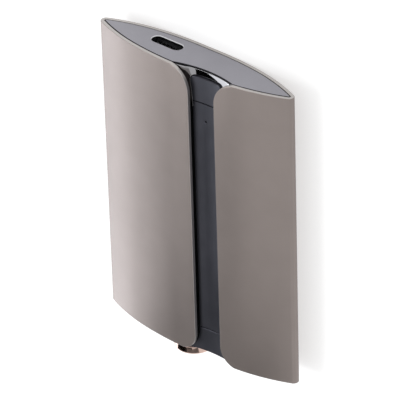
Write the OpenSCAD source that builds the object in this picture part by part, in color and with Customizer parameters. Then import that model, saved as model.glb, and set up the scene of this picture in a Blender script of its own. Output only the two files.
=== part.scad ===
// Portable solid state drive with an eye-shaped section.
// A bent metal sleeve wraps an extruded core and leaves a groove open along the front.
// The drive lies on its bowed back: X is its width, Y its length with the USB end at +Y,
// and Z is up, on the side of the groove. The modules below work from the middle plane
// of the section and from the foot of the sleeve, and in_place() moves them to the frame.

/* [Body] */
// Width over the two long rounded edges
body_w = 60; // [56:0.5:66]
// Length of the sleeve
body_l = 80; // [74:0.5:92]
// Thickness between the two bowed faces
body_t = 11.8; // [11.6:0.1:13]
// Width of the flat down the middle of each face, on which the drive rests
flat_w = 6; // [4:0.5:8]
// Outer radius of the two long edges
edge_r = 1.3; // [1.2:0.05:1.5]
// Angle that a face has turned where its middle arc ends
face_turn = 8.3; // [7.5:0.1:9.5]
// Angle that a face has turned where the long edge begins
edge_turn = 23.3; // [22:0.1:26]

/* [Sleeve] */
// Thickness of the sleeve's sheet
sheet_t = 0.9; // [0.7:0.05:1.1]
// Open width of the groove between the sheet's free edges
groove_w = 7.8; // [7:0.1:9.5]
// Place of the groove's centre across the width
groove_x = 6.2; // [5.2:0.1:6.8]
// Corner radius of the free edges at the USB end
flare_r_usb = 6.6; // [4:0.1:7.5]
// Corner radius of the free edges at the stud end
flare_r_stud = 5.2; // [3.5:0.1:6.5]
// How far a corner stops short of running tangent into the sheet's end
flare_lift = 0.12; // [0.08:0.02:0.3]

/* [Trough] */
// Radius of the hollow trough behind the groove
scoop_r = 29.2; // [26:0.2:34]
// Place of the trough's axis across the width
scoop_x = 7; // [6:0.1:8]
// Depth of the trough's floor below the crest of the front face
scoop_depth = 2.7; // [2.5:0.05:2.9]
// How far the dark strips stand proud of the polished lip
strip_proud = 0.3; // [0.1:0.05:0.5]
// Thickness of the dark strips
strip_t = 1.1; // [0.9:0.05:1.3]
// Reach of the long strip under the sheet's free edges
panel_under = 0.2; // [0.1:0.05:0.5]
// Reach of the upper trim past the free edges at its head
upper_under = 0.7; // [0.3:0.05:0.9]
// Reach of the lower trim under the free edges
lower_under = 0.3; // [0.1:0.05:0.5]
// Corner radius of the upper trim
trim_corner_r = 1.3; // [0.6:0.1:2]
// Corner radius where the strips meet at a seam
seam_corner_r = 0.4; // [0.2:0.05:0.8]
// Distance from the USB end to the upper trim
trim_top = 2.3; // [1.8:0.1:3]
// Distance from the USB end to the seam above the long strip
upper_seam = 9.1; // [7:0.1:11]
// Distance from the stud end to the seam below the long strip
lower_seam = 6.7; // [5.5:0.1:9]
// Width of the seams between the strips
seam_gap = 0.2; // [0.1:0.05:0.3]
// Length of the polished lip
lip_l = 11; // [9.5:0.1:13]
// Thickness of the polished lip at the end cap
lip_t = 0.8; // [0.7:0.05:1]
// Depth that the lip hollows out below the end cap's edge
lip_dip = 0.3; // [0.2:0.05:0.4]
// Radius of that hollow along the length
lip_cove_r = 2.2; // [1.8:0.1:4]

/* [End caps] */
// Thickness of each end cap's plate
cap_t = 1.5; // [1.2:0.1:2]
// Gap between an end cap and the sleeve
cap_gap = 0.2; // [0.1:0.05:0.3]
// Thickness of the end cap's edge over the polished lip
cap_rim = 0.35; // [0.25:0.05:0.5]
// Diameter of the locating pegs
peg_d = 1.4; // [1:0.1:1.6]
// Length of the locating pegs
peg_l = 3; // [2:0.1:5]
// Distance from the middle of the body to each peg
peg_x = 24.4; // [24:0.1:25]
// Width of the ribs that stop the board
stop_w = 4; // [2:0.2:5]
// Height of those ribs
stop_h = 1.2; // [0.8:0.1:1.6]
// Distance from each rib to the side of the core's cavity
stop_in = 0.6; // [0.4:0.1:1]

/* [Core] */
// Gap between the core and the sleeve
core_fit = 0.1; // [0.05:0.05:0.2]
// Wall of the extruded core behind the bowed faces
core_wall = 1.1; // [0.9:0.05:1.3]
// Wall of the core behind the trough
trough_wall = 0.9; // [0.7:0.05:1]
// Gap for adhesive between glued pieces
bond_gap = 0.05; // [0.02:0.01:0.1]

/* [USB socket] */
// Place of the socket's centre across the width
port_x = -9.9; // [-12:0.1:-8.8]
// Height of the socket's centre over the middle plane
port_z = -1; // [-1.3:0.05:-0.8]
// Width of the opening in the end cap
port_w = 9.1; // [8.9:0.05:9.6]
// Height of the opening in the end cap
port_h = 2.9; // [2.7:0.05:3.1]
// Outer width of the socket's steel shell
shell_w = 8.94; // [8.8:0.02:9.2]
// Outer height of the shell
shell_h = 3.16; // [3:0.02:3.3]
// Length of the shell
shell_l = 7.3; // [6.5:0.1:8.5]
// Sheet thickness of the shell
shell_wall = 0.25; // [0.2:0.05:0.3]
// Width of the tongue inside the socket
tongue_w = 6.2; // [5.6:0.1:6.6]
// Thickness of the tongue
tongue_t = 0.7; // [0.6:0.05:0.8]
// Distance from the shell's mouth back to the tongue's tip
tongue_set_back = 0.8; // [0.5:0.1:1.2]
// Length of the insulator's block behind the tongue
insulator_l = 2; // [1.5:0.1:2.5]
// Length of the contacts
contact_l = 3.2; // [2.5:0.1:3.6]
// Width of a contact
contact_w = 0.25; // [0.2:0.01:0.3]
// Thickness of a contact
contact_t = 0.06; // [0.04:0.01:0.1]
// Distance from one contact to the next
contact_pitch = 0.5; // [0.48:0.01:0.52]
// Width of the shell's fixing tabs
tab_w = 1.1; // [0.9:0.1:1.6]
// Length of the shell's fixing tabs
tab_l = 1.2; // [1:0.1:1.6]
// Distance from one tab to the next along the shell
tab_pitch = 2.6; // [2:0.1:3]

/* [Board] */
// Width of the circuit board
board_w = 44.4; // [42:0.2:45]
// Thickness of the board
board_t = 0.8; // [0.6:0.1:1]
// Space between each end of the board and its end cap
board_space = 1.9; // [1.6:0.1:3]
// Depth of the guide slots that hold the board's edges
guide_depth = 0.7; // [0.5:0.05:0.8]
// Play of the board in its guide slots
guide_play = 0.1; // [0.05:0.05:0.15]
// Side of the controller chip
controller_side = 10; // [8:0.5:12]
// Width of a flash memory package
flash_w = 12; // [11:0.5:14]
// Length of a flash memory package
flash_l = 18; // [14:0.5:18.5]
// Height of the chips over the board
chip_h = 1.1; // [0.9:0.05:1.15]
// Thickness of the thermal pads
pad_t = 0.4; // [0.3:0.05:0.45]
// Thickness of the heat spreaders
spreader_t = 0.25; // [0.15:0.05:0.3]

/* [Small components] */
// Distance from the cavity's left wall to the row of small components
left_row_in = 8; // [7:0.1:9]
// Side of the power chip
power_chip_side = 4; // [3:0.1:5]
// Height of the power chip
power_chip_h = 0.8; // [0.6:0.05:1]
// Width of the clock crystal's can
crystal_w = 3.2; // [2.5:0.1:4]
// Length of the clock crystal's can
crystal_l = 2.5; // [2:0.1:3.2]
// Height of the clock crystal's can
crystal_h = 0.7; // [0.5:0.05:0.9]
// Distance from the power chip to the crystal
crystal_pitch = 6.5; // [6:0.1:8]
// Side of a power inductor
inductor_side = 4; // [3:0.1:4.4]
// Height of a power inductor
inductor_h = 1.6; // [1.2:0.05:1.7]
// Distance from one inductor to the next
inductor_pitch = 6; // [5:0.1:6.5]
// Number of small capacitors in each row
capacitor_count = 7; // [4:1:9]
// Width of a capacitor
capacitor_w = 1; // [0.6:0.05:1.2]
// Length of a capacitor
capacitor_l = 1.6; // [1:0.1:2]
// Height of a capacitor
capacitor_h = 0.6; // [0.4:0.05:0.8]
// Distance from one capacitor to the next
capacitor_pitch = 2.4; // [2.2:0.1:3]
// Distance between the two rows of capacitors
capacitor_rows = 3.5; // [2.5:0.1:4]
// Width of the status light's body
led_w = 1.6; // [1.4:0.1:2]
// Length of the status light's body
led_l = 0.8; // [0.7:0.05:1.2]
// Height of the status light's body
led_h = 0.5; // [0.4:0.05:0.7]

/* [Status light] */
// Place of the status light across the width
light_x = 5.7; // [5.2:0.1:6.6]
// Distance from the USB end to the status light
light_y = 14; // [12:0.1:18]
// Diameter of the pin-hole in the long strip
light_hole_d = 0.6; // [0.5:0.05:1]
// Play of the light pipe in its holes
pipe_play = 0.1; // [0.06:0.02:0.16]

/* [Lanyard stud] */
// Diameter of the stud
stud_d = 10.2; // [8:0.1:10.6]
// How far the stud stands out of the end
stud_h = 2.8; // [2.5:0.1:3.5]
// Place of the stud across the width
stud_x = -3.3; // [-5:0.1:-2.8]
// Rounding of the stud's rim
stud_round = 0.7; // [0.4:0.05:0.9]
// Diameter of the lanyard hole through the stud
lanyard_hole_d = 1.4; // [1:0.1:1.5]
// Diameter of the stud's shank through the end cap
shank_d = 3; // [2.5:0.1:3.5]
// Width across the corners of the nut on the shank
nut_w = 5.6; // [5:0.1:6]
// Height of that nut
nut_h = 1.1; // [0.9:0.05:1.2]
// Play of the shank in the nut and the end cap
shank_play = 0.05; // [0.03:0.01:0.1]

/* [Hidden] */

cut_more = 1;
half_w = body_w / 2;
half_t = body_t / 2;

// Beside its flat a face has three arcs: middle, shoulder and long edge, each tangent to
// the next. The two larger radii follow from the width, the thickness and the angles.
span = half_w - flat_w / 2 - edge_r * (1 - sin(edge_turn));
rise = half_t - edge_r * cos(edge_turn);
mid_sin = sin(face_turn);
mid_drop = 1 - cos(face_turn);
side_sin = sin(edge_turn) - sin(face_turn);
side_drop = cos(face_turn) - cos(edge_turn);
arc_det = mid_sin * side_drop - side_sin * mid_drop;
face_r = (span * side_drop - side_sin * rise) / arc_det;
side_r = (mid_sin * rise - span * mid_drop) / arc_det;
mid_centre = [flat_w / 2, half_t - face_r];
side_centre = mid_centre + (face_r - side_r) * [sin(face_turn), cos(face_turn)];
edge_centre = side_centre + (side_r - edge_r) * [sin(edge_turn), cos(edge_turn)];
arc_steps = 9;
edge_steps = 7;

// Places along the length
foot_y = cap_t + bond_gap;
head_y = body_l - cap_t - bond_gap;
trim_head = body_l - trim_top;
trim_foot = body_l - upper_seam + seam_gap / 2;
panel_head = trim_foot - seam_gap;
panel_foot = lower_seam + seam_gap / 2;
board_y0 = cap_t + board_space;
board_y1 = body_l - cap_t - board_space;
board_z = port_z - board_t / 2;
board_top = board_z + board_t;
stop_gap = 0.1;
shank_past_nut = 0.3;
shank_l = cap_t + nut_h + shank_past_nut;

// Radii of the trough, from what shows to what it sits on
strip_r = scoop_r - strip_proud;
strip_back_r = strip_r + strip_t;
lip_back_r = min(scoop_r + lip_t, strip_back_r);
lip_head = body_l - cap_rim - bond_gap;
seat_r = strip_back_r + bond_gap;
scoop_z = half_t - scoop_depth + scoop_r;
cap_inset = sheet_t + cap_gap;
core_inset = sheet_t + core_fit;
cavity_inset = core_inset + core_wall;
cavity_w = board_w - 2 * guide_depth;

// Places of the parts on the circuit board
chip_x = scoop_x;
chip_space = 2.2;
light_space = 3;
light_from_foot = body_l - light_y;
controller_y = light_from_foot - light_space - controller_side / 2;
flash_y1 = controller_y - (controller_side + flash_l) / 2 - chip_space;
flash_y2 = flash_y1 - flash_l - chip_space;
front_chips_l = 2 * flash_l + controller_side + 2 * chip_space;
back_chips_l = 2 * flash_l + chip_space;
chips_foot = flash_y2 - flash_l / 2;
back_chip_x = 0;
left_row_x = left_row_in - cavity_w / 2;
pipe_d = light_hole_d - pipe_play;

// Places in the socket
shell_y0 = head_y - shell_l;
shell_y1 = head_y;
tongue_y1 = shell_y1 - tongue_set_back;
contact_count = 12;

// Height of a trough radius over the middle plane, at a place across the width
function scoop_floor(x, r) = scoop_z - sqrt(r * r - pow(x - scoop_x, 2));

// Points of an arc, in steps from one angle to another, measured from +Z towards +X
function arc(centre, r, from, to, steps) =
    [for (i = [0 : steps]) let (a = from + (to - from) * i / steps) centre + r * [sin(a), cos(a)]];

// Where a deep inset runs out to a point on the middle plane, before it reaches the edge arc
function last_turn(inset) =
    inset < edge_r ? edge_turn : acos(-side_centre[1] / (side_r - inset));

// A quarter of the outline, from the end of the flat to the long edge
function quarter(inset) = concat(
    arc(mid_centre, face_r - inset, 0, face_turn, arc_steps),
    [for (i = [1 : arc_steps])
        arc(side_centre, side_r - inset, face_turn, last_turn(inset), arc_steps)[i]],
    inset < edge_r
        ? [for (i = [1 : edge_steps])
            arc(edge_centre, edge_r - inset, edge_turn, 90, edge_steps)[i]]
        : []
);

// The closed outline, set in by an amount: the quarter and its three mirror images
function outline_points(inset) =
    let (q = quarter(inset), n = len(q)) concat(
        q,
        [for (i = [n - 2 : -1 : 0]) [q[i][0], -q[i][1]]],
        [for (i = [0 : n - 1]) [-q[i][0], -q[i][1]]],
        [for (i = [n - 2 : -1 : 0]) [-q[i][0], q[i][1]]]
    );

// A slot with round ends, as points
function slot_points(w, h, steps = 12) =
    let (c = (w - h) / 2) concat(
        arc([c, 0], h / 2, 0, 180, steps),
        arc([-c, 0], h / 2, 180, 360, steps)
    );

// One corner of the groove, as points from the free edge out to the sheet's end.
// side is -1 on the left and 1 on the right, and end is 1 at the USB end.
function flare_points(side, end, reach) =
    let (r = end > 0 ? flare_r_usb : flare_r_stud,
         y = end > 0 ? body_l - r + flare_lift : r - flare_lift,
         edge = groove_x + side * groove_w / 2,
         centre = [edge + side * r, y],
         last = acos((r - flare_lift) / r))
    [for (i = [0 : 12])
        let (a = 90 - (90 - last) * i / 12)
        centre + (r - reach) * [-side * sin(a), end * cos(a)]];

function reversed(list) = [for (i = [len(list) - 1 : -1 : 0]) list[i]];

module in_place() {
    translate([0, (stud_h - body_l) / 2, half_t]) children();
}

// Extrudes a section, drawn in X and Z, along the length from y0 to y1
module along(y0, y1) {
    translate([0, y1, 0]) rotate([90, 0, 0]) linear_extrude(y1 - y0) children();
}

module outline(inset) {
    polygon(outline_points(inset));
}

module scoop_circle(r) {
    translate([scoop_x, scoop_z]) circle(r = r, $fn = 240);
}

// The groove seen from the front, widened by its reach under the free edges
module groove_plan(reach) {
    polygon(concat(
        flare_points(-1, 1, reach),
        [[groove_x - groove_w / 2 - flare_r_usb, body_l + cut_more]],
        [[groove_x + groove_w / 2 + flare_r_usb, body_l + cut_more]],
        reversed(flare_points(1, 1, reach)),
        flare_points(1, -1, reach),
        [[groove_x + groove_w / 2 + flare_r_stud, -cut_more]],
        [[groove_x - groove_w / 2 - flare_r_stud, -cut_more]],
        reversed(flare_points(-1, -1, reach))
    ));
}

// A strip of the trough lining: what lies between two radii, within a shape seen from the front
module trough_strip(front_r, back_r, y0, y1) {
    intersection() {
        along(y0, y1) difference() {
            intersection() {
                outline(cap_inset);
                scoop_circle(back_r);
            }
            scoop_circle(front_r);
        }
        linear_extrude(half_t) children();
    }
}

module pegs(y, d, l) {
    for (side = [-1, 1])
        translate([side * peg_x, y + l, 0]) rotate([90, 0, 0]) cylinder(d = d, h = l, $fn = 32);
}

// Ribs on an end cap that stop the board from sliding
module board_stops(y0, y1) {
    for (side = [-1, 1])
        translate([side * (cavity_w / 2 - stop_in - stop_w / 2) - stop_w / 2, y0, port_z - stop_h / 2])
            cube([stop_w, y1 - y0, stop_h]);
}

module sleeve() color("#9c918c") in_place() difference() {
    along(0, body_l) difference() {
        outline(0);
        outline(sheet_t);
    }
    linear_extrude(body_t) groove_plan(0);
}

module usb_end_cap() color("#94949a") in_place() difference() {
    union() {
        along(body_l - cap_rim, body_l) difference() {
            outline(cap_inset);
            scoop_circle(scoop_r);
        }
        along(body_l - cap_t, body_l - cap_rim) difference() {
            outline(cap_inset);
            scoop_circle(seat_r);
        }
        pegs(body_l - cap_t - peg_l, peg_d, peg_l);
        board_stops(board_y1 + stop_gap, body_l - cap_t);
    }
    along(body_l - cap_t - cut_more, body_l + cut_more)
        translate([port_x, port_z]) polygon(slot_points(port_w, port_h));
}

// A plate in the groove seen from the front, between two heights. It reaches under the
// free edges by one amount at its foot and another at its head.
module plate_plan(y0, y1, foot_reach, head_reach, foot_r, head_r) {
    foot_side = groove_w / 2 + foot_reach - foot_r;
    head_side = groove_w / 2 + head_reach - head_r;
    translate([groove_x, 0]) polygon(concat(
        arc([foot_side, y0 + foot_r], foot_r, 90, 180, 6),
        arc([-foot_side, y0 + foot_r], foot_r, 180, 270, 6),
        arc([-head_side, y1 - head_r], head_r, 270, 360, 8),
        arc([head_side, y1 - head_r], head_r, 0, 90, 8)
    ));
}

// The upper trim seen from the front, grown by a gap all round
module upper_trim_plan(gap) {
    plate_plan(trim_foot - gap, trim_head + gap, panel_under + gap, upper_under + gap,
               seam_corner_r + gap, trim_corner_r + gap);
}

// What hollows the lip: a round tool about the trough's axis. It has the trough's radius at
// the end cap and sinks into a cove below it.
module lip_hollow() {
    cove_turn = acos(1 - lip_dip / lip_cove_r);
    cove_foot = lip_head - lip_cove_r * sin(cove_turn);
    floor_r = scoop_r + lip_dip;
    translate([scoop_x, 0, scoop_z]) rotate([-90, 0, 0]) rotate_extrude($fn = 240) polygon(concat(
        [[0, lip_head + cut_more], [0, body_l - lip_l - cut_more]],
        [[floor_r, body_l - lip_l - cut_more]],
        [for (i = [0 : 6]) let (a = cove_turn * i / 6)
            [floor_r - lip_cove_r * (1 - cos(a)), cove_foot + lip_cove_r * sin(a)]],
        [[scoop_r, lip_head + cut_more]]
    ));
}

// The lip wraps the head of the groove, with a pocket for the upper trim and an open foot
module scoop_lip() color("#16161a") in_place() difference() {
    along(body_l - lip_l, lip_head) intersection() {
        outline(cap_inset);
        scoop_circle(lip_back_r);
    }
    lip_hollow();
    linear_extrude(half_t) union() {
        upper_trim_plan(seam_gap);
        mouth_w = groove_w + 2 * (panel_under + seam_gap);
        mouth_y = body_l - lip_l - cut_more;
        translate([groove_x - mouth_w / 2, mouth_y]) square([mouth_w, trim_foot + seam_gap - mouth_y]);
    }
}

module upper_trim() color("#4a4b50") in_place()
    trough_strip(strip_r, strip_back_r, trim_foot, trim_head) upper_trim_plan(0);

module spine_panel() color("#505157") in_place() difference() {
    trough_strip(strip_r, strip_back_r, panel_foot, panel_head)
        plate_plan(panel_foot, panel_head, panel_under, panel_under, seam_corner_r, seam_corner_r);
    translate([light_x, light_from_foot, 0]) cylinder(d = light_hole_d, h = body_t, $fn = 24);
}

module lower_trim() color("#3c3f43") in_place()
    trough_strip(strip_r, strip_back_r, 0, panel_foot - seam_gap)
        groove_plan(lower_under);

module base_end_cap() color("#8d8d93") in_place() difference() {
    union() {
        along(0, cap_t) difference() {
            outline(cap_inset);
            scoop_circle(seat_r);
        }
        pegs(cap_t, peg_d, peg_l);
        board_stops(cap_t, board_y0 - stop_gap);
    }
    translate([stud_x, cap_t + cut_more, 0]) rotate([90, 0, 0])
        cylinder(d = shank_d + 2 * shank_play, h = cap_t + 2 * cut_more, $fn = 48);
}

// A turned button: a shank through the end cap, a short neck, a round rim and a cross hole
module lanyard_stud() color("#d8b6a8") in_place() difference() {
    neck_inset = 0.35;
    neck_l = 0.35;
    neck_flare = 0.25;
    rim_r = stud_d / 2;
    translate([stud_x, 0, 0]) rotate([90, 0, 0]) rotate_extrude($fn = 96)
        polygon(concat(
            [[0, -shank_l], [shank_d / 2, -shank_l], [shank_d / 2, 0]],
            [[rim_r - neck_inset, 0], [rim_r - neck_inset, neck_l], [rim_r, neck_l + neck_flare]],
            [for (i = [0 : 6]) let (a = 15 * i)
                [rim_r - stud_round + stud_round * cos(a), stud_h - stud_round + stud_round * sin(a)]],
            [[0, stud_h]]
        ));
    translate([stud_x - stud_d, -stud_h / 2, 0]) rotate([0, 90, 0])
        cylinder(d = lanyard_hole_d, h = 2 * stud_d, $fn = 48);
}

module stud_nut() color("#b8b8bc") in_place()
    translate([stud_x, cap_t + nut_h, 0]) rotate([90, 0, 0]) difference() {
        cylinder(d = nut_w, h = nut_h, $fn = 6);
        translate([0, 0, -cut_more])
            cylinder(d = shank_d + 2 * shank_play, h = nut_h + 2 * cut_more, $fn = 48);
    }

// The extruded core: bowed outside, trough on the front, cavity and guide slots for the board
module core_housing() color("#6a6c70") in_place() difference() {
    along(foot_y, head_y) difference() {
        outline(core_inset);
        scoop_circle(seat_r);
        difference() {
            intersection() {
                outline(cavity_inset);
                translate([-cavity_w / 2, -half_t]) square([cavity_w, body_t]);
            }
            scoop_circle(seat_r + trough_wall);
        }
        translate([-board_w / 2 - guide_play, board_z - guide_play / 2])
            square([board_w + 2 * guide_play, board_t + guide_play]);
    }
    pegs(foot_y - cut_more, peg_d + guide_play, peg_l + cut_more + guide_play);
    pegs(head_y - peg_l - guide_play, peg_d + guide_play, peg_l + cut_more + guide_play);
    translate([light_x, light_from_foot, 0]) cylinder(d = pipe_d + 2 * pipe_play, h = body_t, $fn = 24);
}

module main_board() color("#1f5a3c") in_place() difference() {
    translate([-board_w / 2, board_y0, board_z]) cube([board_w, board_y1 - board_y0, board_t]);
    translate([port_x - shell_w / 2 - guide_play, shell_y0 - guide_play, board_z - cut_more])
        cube([shell_w + 2 * guide_play, shell_l, board_t + 2 * cut_more]);
}

// A flat component on the board, centred at x and y, on its front or its back
module on_board(x, y, w, l, h, front = true) {
    translate([x - w / 2, y - l / 2, front ? board_top : board_z - h]) cube([w, l, h]);
}

module controller_chip() color("#222326") in_place()
    on_board(chip_x, controller_y, controller_side, controller_side, chip_h);

module flash_chips() color("#1d1e20") in_place() {
    for (y = [flash_y1, flash_y2]) {
        on_board(chip_x, y, flash_w, flash_l, chip_h);
        on_board(back_chip_x, y, flash_w, flash_l, chip_h, false);
    }
}

module power_chip() color("#27282b") in_place()
    on_board(left_row_x, controller_y, power_chip_side, power_chip_side, power_chip_h);

module clock_crystal() color("#c8c8cc") in_place()
    on_board(left_row_x + crystal_pitch, controller_y, crystal_w, crystal_l, crystal_h);

module power_inductors() color("#5b5853") in_place() {
    for (i = [1, 2])
        on_board(left_row_x, controller_y - inductor_pitch * i, inductor_side, inductor_side, inductor_h);
}

module ceramic_capacitors() color("#b09a78") in_place() {
    for (side = [-0.5, 0.5])
        for (i = [0 : capacitor_count - 1])
            on_board(left_row_x + side * capacitor_rows, flash_y1 - capacitor_pitch * i,
                     capacitor_w, capacitor_l, capacitor_h);
}

module status_led() color("#f4f2e4") in_place()
    on_board(light_x, light_from_foot, led_w, led_l, led_h);

// The light pipe stands on the status light and ends just below the mouth of the pin-hole
module light_pipe() color("#e8eef2") in_place() {
    below_mouth = 0.15;
    foot_flange = 0.35;
    foot_h = 0.5;
    foot_z = board_top + led_h;
    tip_z = scoop_floor(light_x, strip_r) - below_mouth;
    translate([light_x, light_from_foot, foot_z]) {
        cylinder(d = pipe_d, h = tip_z - foot_z, $fn = 24);
        cylinder(d = pipe_d + 2 * foot_flange, h = foot_h, $fn = 24);
    }
}

// A drawn tube with a closed rear and four tabs that lie on the board beside its cut-out
module usb_shell() color("#b9bbc0") in_place() {
    tab_root = 0.1;
    tab_reach = (shell_w + tab_w) / 2 - tab_root;
    along(shell_y0, shell_y1) translate([port_x, port_z]) difference() {
        polygon(slot_points(shell_w, shell_h));
        polygon(slot_points(shell_w - 2 * shell_wall, shell_h - 2 * shell_wall));
    }
    along(shell_y0, shell_y0 + shell_wall) translate([port_x, port_z])
        polygon(slot_points(shell_w - shell_wall, shell_h - shell_wall));
    for (side = [-1, 1])
        for (i = [0, 1])
            translate([port_x + side * tab_reach - tab_w / 2,
                       shell_y0 + tab_l / 2 + i * tab_pitch, board_top])
                cube([tab_w, tab_l, shell_wall]);
}

// The insulator fills the rear of the shell and carries the tongue
module usb_insulator() color("#18191b") in_place() {
    inset = 2 * (shell_wall + bond_gap);
    y0 = shell_y0 + shell_wall + bond_gap;
    along(y0, y0 + insulator_l) translate([port_x, port_z])
        polygon(slot_points(shell_w - inset, shell_h - inset));
    translate([port_x - tongue_w / 2, y0, port_z - tongue_t / 2])
        cube([tongue_w, tongue_y1 - y0, tongue_t]);
}

module usb_contacts() color("#d9b45a") in_place() {
    from_tip = 0.5;
    for (i = [0 : contact_count - 1])
        for (z = [tongue_t / 2, -tongue_t / 2 - contact_t])
            translate([port_x + (i - (contact_count - 1) / 2) * contact_pitch - contact_w / 2,
                       tongue_y1 - from_tip - contact_l, port_z + z])
                cube([contact_w, contact_l, contact_t]);
}

module thermal_pads() color("#7f93a8") in_place() {
    translate([chip_x - flash_w / 2, chips_foot, board_top + chip_h])
        cube([flash_w, front_chips_l, pad_t]);
    translate([back_chip_x - flash_w / 2, chips_foot, board_z - chip_h - pad_t])
        cube([flash_w, back_chips_l, pad_t]);
}

module front_heat_spreader() color("#b87344") in_place()
    translate([chip_x - flash_w / 2, chips_foot, board_top + chip_h + pad_t])
        cube([flash_w, front_chips_l, spreader_t]);

module back_heat_spreader() color("#b87344") in_place()
    translate([back_chip_x - flash_w / 2, chips_foot, board_z - chip_h - pad_t - spreader_t])
        cube([flash_w, back_chips_l, spreader_t]);

sleeve();
usb_end_cap();
scoop_lip();
upper_trim();
spine_panel();
lower_trim();
base_end_cap();
lanyard_stud();
stud_nut();
core_housing();
main_board();
controller_chip();
flash_chips();
power_chip();
clock_crystal();
power_inductors();
ceramic_capacitors();
status_led();
light_pipe();
usb_shell();
usb_insulator();
usb_contacts();
thermal_pads();
front_heat_spreader();
back_heat_spreader();
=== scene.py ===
# %% [markdown]
# # A pocket drive, dressed for its picture
# The real object is a pocket solid state drive. One bent aluminium sheet wraps it, and where the
# sheet's two edges stop short of each other a dark trough shows. The scene starts from the packed
# solids, so that every dressed piece lands exactly where the solid says.

# %% load the solids
import math
from contextlib import contextmanager

import bmesh
import bpy
from mathutils import Matrix, Vector


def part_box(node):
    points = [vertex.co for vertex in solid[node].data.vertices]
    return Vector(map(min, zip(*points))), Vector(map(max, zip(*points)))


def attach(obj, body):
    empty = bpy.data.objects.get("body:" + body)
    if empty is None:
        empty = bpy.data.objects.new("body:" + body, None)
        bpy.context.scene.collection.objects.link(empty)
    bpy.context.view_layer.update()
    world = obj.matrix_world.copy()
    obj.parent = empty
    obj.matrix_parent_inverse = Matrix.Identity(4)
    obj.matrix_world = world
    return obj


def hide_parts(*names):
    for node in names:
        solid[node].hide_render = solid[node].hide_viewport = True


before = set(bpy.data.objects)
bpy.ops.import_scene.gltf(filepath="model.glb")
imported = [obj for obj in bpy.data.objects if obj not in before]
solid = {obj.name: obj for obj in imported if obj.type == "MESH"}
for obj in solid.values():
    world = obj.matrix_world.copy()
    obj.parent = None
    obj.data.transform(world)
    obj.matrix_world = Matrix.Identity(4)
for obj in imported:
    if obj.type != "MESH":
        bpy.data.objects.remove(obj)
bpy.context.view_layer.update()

scene = bpy.context.scene
scene.view_settings.view_transform = "Standard"
print("solids loaded:", len(solid))

# %% [markdown]
# The drive lies on its bowed back with the trough up. A designer thinks of it in millimetres: x
# across the width, y up the length from the sleeve's foot, z over the middle plane. One small
# function turns such a place into scene metres, and it reads its origin off the sleeve's solid, so
# no piece has to know where the drive lies.

# %% a place on the drive
MM = 0.001
sleeve_low, sleeve_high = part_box("sleeve")
body_l = (sleeve_high.y - sleeve_low.y) / MM
half_w = (sleeve_high.x - sleeve_low.x) / MM / 2
half_t = (sleeve_high.z - sleeve_low.z) / MM / 2


def place(x, y, z):
    """Scene metres of a point that is given in millimetres on the drive."""
    return Vector((x * MM, sleeve_low.y + y * MM, sleeve_low.z + (half_t + z) * MM))


print(f"sleeve {2 * half_w:.2f} wide, {body_l:.2f} long, {2 * half_t:.2f} thick")

# %% [markdown]
# The photograph was taken with a long lens from the trough side, above the socket's end. The
# camera could be pushed about by hand until it looks right, but a fit to the drive's corners and
# edges is surer: direction, roll, distance, lens and shift are written here as they came out of
# it. The camera aims at the middle of the sleeve.

# %% the camera
view_turn, view_rise, view_roll = map(math.radians, (42.20, 32.11, -1.76))
view_away, view_lens, view_shift = 0.960, 358.74, (-0.000825, 0.0031)
toward = Vector((math.sin(view_turn) * math.cos(view_rise), math.sin(view_rise),
                 math.cos(view_turn) * math.cos(view_rise)))
level_right = Vector((math.cos(view_turn), 0, -math.sin(view_turn)))
level_up = toward.cross(level_right)
cam_right = level_right * math.cos(view_roll) + level_up * math.sin(view_roll)
cam_up = level_up * math.cos(view_roll) - level_right * math.sin(view_roll)

camera = bpy.data.objects.new("camera", bpy.data.cameras.new("camera"))
camera.data.sensor_width = 36
camera.data.lens = view_lens
camera.data.shift_x, camera.data.shift_y = view_shift
camera.data.clip_start, camera.data.clip_end = 0.05, 20
turn = Matrix((cam_right, cam_up, toward)).transposed().to_4x4()
camera.matrix_world = Matrix.Translation(place(0, body_l / 2, 0) + toward * view_away) @ turn
scene.collection.objects.link(camera)
scene.camera = camera
print("camera looks from", [round(v, 3) for v in toward])

# %% [markdown]
# A product picture on white is a white table between white walls. Walls could be built, but a
# world of one even colour does the same. The camera, mirrors and glass see it as plain white,
# while matt surfaces get a little less, so that the lamps can shape them.

# %% the white room
plain_light, white_light = 0.55, 1.0
world = bpy.data.worlds.new("white_room")
scene.world = world
world.use_nodes = True
room = world.node_tree
room.nodes.clear()


def gate(tree, low, high):
    """A strength that is high for camera, mirror and glass rays and low for all others."""
    path = tree.nodes.new("ShaderNodeLightPath")
    first = tree.nodes.new("ShaderNodeMath")
    first.operation = "MAXIMUM"
    tree.links.new(path.outputs["Is Camera Ray"], first.inputs[0])
    tree.links.new(path.outputs["Is Glossy Ray"], first.inputs[1])
    second = tree.nodes.new("ShaderNodeMath")
    second.operation = "MAXIMUM"
    tree.links.new(first.outputs[0], second.inputs[0])
    tree.links.new(path.outputs["Is Transmission Ray"], second.inputs[1])
    strength = tree.nodes.new("ShaderNodeMapRange")
    strength.inputs["To Min"].default_value = low
    strength.inputs["To Max"].default_value = high
    tree.links.new(second.outputs[0], strength.inputs["Value"])
    return strength.outputs["Result"]


sky = room.nodes.new("ShaderNodeBackground")
sky.inputs["Color"].default_value = (1, 1, 1, 1)
room.links.new(gate(room, plain_light, white_light), sky.inputs["Strength"])
room.links.new(sky.outputs[0], room.nodes.new("ShaderNodeOutputWorld").inputs["Surface"])
print(f"the world: {white_light} for camera and mirrors, {plain_light} for matt surfaces")

# %% [markdown]
# The table is one big sheet of matt white paper. Paper alone would come out a light grey, so it
# also glows a little, for the camera, mirrors and glass alone. Both together clip to white, and
# the drive's soft shadow is all that stays.

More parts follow.
